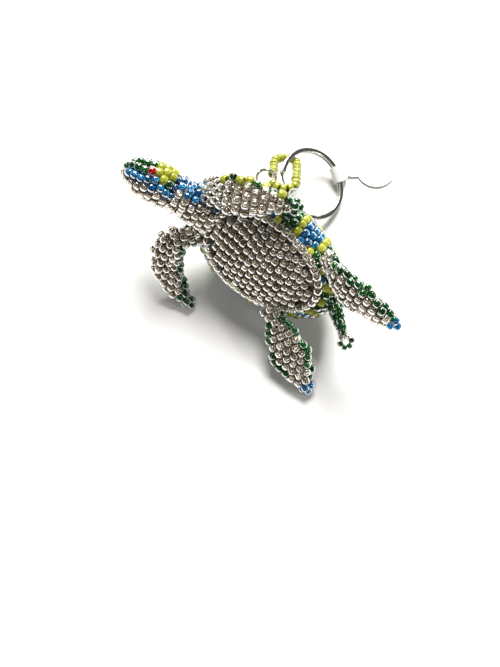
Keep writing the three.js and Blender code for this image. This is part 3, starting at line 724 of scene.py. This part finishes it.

# The stuffing takes the dark fibre, which is partly painted shade showing between the beads.
for node in ("shell_stuffing", "loop_thread", "paper_tag"):
    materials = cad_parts[node].data.materials
    materials.clear()
    materials.append({"loop_thread": NYLON, "paper_tag": CARD}.get(node, FIBRE_DARKENED_AS_SHADE))


def loft(name, rings, mat, endless=False):
    """A closed mesh through rings of points, in the row frame."""
    rings = [np.asarray(r) for r in rings]
    n = len(rings[0])
    verts = np.concatenate(rings).tolist()
    faces = []
    for i in range(len(rings) - (0 if endless else 1)):
        j = (i + 1) % len(rings)
        faces += [(i * n + k, i * n + (k + 1) % n, j * n + (k + 1) % n, j * n + k) for k in range(n)]
    if not endless:
        faces += [tuple(range(n))[::-1], tuple(range((len(rings) - 1) * n, len(rings) * n))]
    data = bpy.data.meshes.new(name)
    data.from_pydata(verts, [], faces)
    data.polygons.foreach_set("use_smooth", np.ones(len(faces), bool))
    data.materials.append(mat)
    data.update()
    obj = bpy.data.objects.new(name, data)
    bpy.context.scene.collection.objects.link(obj)
    return obj


def wire(name, points, radius, mat, sides=12):
    """A round wire or thread along points in the row frame."""
    points = np.asarray(points)
    tangents = unit(np.gradient(points, axis=0))
    normal = unit(np.cross(tangents[0], [0.31, 0.52, 0.79]))
    rings = []
    for p, t in zip(points, tangents):
        normal = unit(normal - t * np.dot(normal, t))
        other = np.cross(t, normal)
        a = np.linspace(0, 2 * np.pi, sides, endpoint=False)[:, None]
        rings.append(p + radius * (np.cos(a) * normal + np.sin(a) * other))
    return loft(name, rings, mat)


def liner(name, rings, body=None, bend=None, nodes=()):
    """Fibre that fills out the beadwork from inside. Its dark colour is partly the stuffing's own and partly
    painted shade in the gaps between the beads.
    """
    obj = loft(name, [place(np.array(ring)) for ring in rings], FIBRE_DARKENED_AS_SHADE)
    if bend:
        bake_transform(obj)
    else:
        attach(obj, body)
    if nodes:
        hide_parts(*nodes)


for flipper_name, core in cores.items():
    liner(flipper_name + "_core", core, flipper_name)
round_about = np.arange(0, 360, 15)
head_rings = [head_point(np.full(24, along), round_about, 1.95) for along in np.linspace(0.03, 0.9, 16)]
liner("head_fibre", head_rings, "head", nodes=["head_stuffing"])
for name, start, end, radii in (("nape", neck_front, NECK_CENTRE, NAPE_RADII),
                                ("neck", NECK_CENTRE, neck_back, NECK_RADII)):
    tube = sleeve(start, end, radii[0] - 1.2, radii[1] - 1.2)
    tube_rings = [tube(np.full(24, u), round_about / 360) for u in np.linspace(0.0, 1, 8)]
    liner(name + "_fibre", tube_rings, bend=BENDS[name])

# split ring: two turns of flat wire with softened edges
ring_points = vertices("split_ring")
_, ring_normal = thin_axis(ring_points)
ring_normal = ring_normal * np.sign(ring_normal[2])
rough_centre = ring_points.mean(0)
ring_e2 = unit(np.cross([0, 0, 1], ring_normal))
ring_e1 = np.cross(ring_e2, ring_normal)
flat_x, flat_y = (ring_points - rough_centre) @ ring_e1, (ring_points - rough_centre) @ ring_e2
outer = np.hypot(flat_x, flat_y) > (RING_DIAMETER - RING_WIRE_WIDTH) / 2 * MM
fit = np.linalg.lstsq(np.stack([2 * flat_x[outer], 2 * flat_y[outer], np.ones(outer.sum())], 1),
                      flat_x[outer] ** 2 + flat_y[outer] ** 2, rcond=None)[0]
ring_centre = rough_centre + fit[0] * ring_e1 + fit[1] * ring_e2
ring_rings = []
step_half = math.radians(12)
mean = (RING_DIAMETER - RING_WIRE_WIDTH) / 2
for i in range(361):
    turn = step_half + 0.03 + (4 * math.pi - 2 * step_half - 0.06) * i / 360
    t = min(max((turn - 2 * math.pi + step_half) / (2 * step_half), 0), 1)
    lift = (RING_WIRE_HEIGHT + RING_TURN_GAP) * (t * t * (3 - 2 * t) - 0.5)
    angle = turn + math.radians(RING_STEP_TURN)
    radial = math.cos(angle) * ring_e1 + math.sin(angle) * ring_e2
    section = []
    for k in range(16):
        a = 2 * math.pi * (k + 0.5) / 16
        c, s = math.cos(a), math.sin(a)
        across = mean + RING_WIRE_WIDTH / 2 * math.copysign(abs(c) ** 0.5, c)
        above = lift + RING_WIRE_HEIGHT / 2 * math.copysign(abs(s) ** 0.5, s)
        section.append(ring_centre + MM * (radial * across + ring_normal * above))
    ring_rings.append(section)
split_ring = loft("split_ring_wire", ring_rings, NICKEL)
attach(split_ring, "split_ring")
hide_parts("split_ring")

# jump ring: one turn of round wire with the cut between its ends
jump_points = vertices("jump_ring")
jump_centre, jump_normal = thin_axis(jump_points)
jump_radius = (np.linalg.norm(jump_points - jump_centre, axis=1).max()
               + np.linalg.norm(jump_points - jump_centre, axis=1).min()) / 2
jump_e1 = unit(np.cross(jump_normal, [0.2, 0.9, 0.3]))
jump_e2 = np.cross(jump_normal, jump_e1)
sweep = np.linspace(math.radians(3), math.radians(357), 120)[:, None]
jump_line = jump_centre + jump_radius * (np.cos(sweep) * jump_e1 + np.sin(sweep) * jump_e2)
jump_ring = wire("jump_ring_wire", jump_line, JUMP_RING_WIRE / 2 * MM, NICKEL)
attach(jump_ring, "jump_ring")
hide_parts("jump_ring")

# the loose ends of the thread
for node in ("upper_thread_end", "lower_thread_end"):
    tie_points = vertices(node)
    tie_centre, tie_normal = thin_axis(tie_points)
    tie_e1 = unit(np.cross(tie_normal, [0.1, 0.3, 0.9]))
    tie_e2 = np.cross(tie_normal, tie_e1)
    sweep = np.linspace(0, 2.02 * math.pi, 90)[:, None]
    swell = 1 + 0.16 * np.sin(2 * sweep + 1)
    tie_line = (tie_centre + 1.45 * MM * swell * (np.cos(sweep) * tie_e1 + np.sin(sweep) * tie_e2)
                + tie_normal * 0.25 * MM * np.cos(sweep * 0.5))
    tie = wire(node + "_nylon", tie_line, 0.18 * MM, NYLON, 10)
    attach(tie, "shell")
    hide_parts(node)

# ---- floor, light and camera ----
floor_mesh = bpy.data.meshes.new("floor")
FLOOR_HALF = 3
FLOOR_HEIGHT = -0.0002
floor_corners = [(x * FLOOR_HALF, y * FLOOR_HALF, FLOOR_HEIGHT)
                 for x, y in ((-1, -1), (1, -1), (1, 1), (-1, 1))]
floor_mesh.from_pydata(floor_corners, [], [(0, 1, 2, 3)])
FLOOR_CLOTH = plain("pale_floor", (0.84, 0.83, 0.81), (0.87, 0.86, 0.84), 0.9, 40, 0.05, 0.0002)
floor_mesh.materials.append(FLOOR_CLOTH)
floor = bpy.data.objects.new("floor", floor_mesh)
bpy.context.scene.collection.objects.link(floor)


def area_light(name, position, target, size, power, colour=(1, 1, 1)):
    data = bpy.data.lights.new(name, "AREA")
    data.size = size
    data.energy = power
    data.color = colour
    light = bpy.data.objects.new(name, data)
    light.location = position
    light.rotation_euler = (Vector(target) - Vector(position)).to_track_quat("-Z", "Y").to_euler()
    bpy.context.scene.collection.objects.link(light)


area_light("window", (-0.28, 0.50, 0.62), (0, 0, 0.01), 0.4, 17.0)
area_light("side_fill", (0.55, 0.15, 0.40), (0, 0, 0.01), 0.12, 0.9)
area_light("front_fill", (0.10, -0.6, 0.45), (0, 0, 0.01), 0.14, 0.9)

world = bpy.data.worlds.new("studio")
bpy.context.scene.world = world
world.use_nodes = True
world.node_tree.nodes["Background"].inputs["Color"].default_value = (1.0, 0.95, 0.86, 1)
world.node_tree.nodes["Background"].inputs["Strength"].default_value = 0.12

bpy.context.scene.view_settings.view_transform = "Standard"

SENSOR_WIDTH = 36
LENS = 37.78
CAMERA_FROM_BODY = np.array([33.164, -53.962, 166.156])

camera_data = bpy.data.cameras.new("camera")
camera_data.sensor_width = SENSOR_WIDTH
camera_data.lens = LENS
camera = bpy.data.objects.new("camera", camera_data)
right = Vector((0.8090, 0.5878, 0.0)).normalized()
forward = Vector((-0.14618, 0.20119, -0.96858)).normalized()
up = right.cross(forward)
camera_place = (SHIFT + CAMERA_FROM_BODY) * MM
camera.matrix_world = Matrix.Translation(camera_place) @ Matrix((right, up, -forward)).transposed().to_4x4()
bpy.context.scene.collection.objects.link(camera)
bpy.context.scene.camera = camera
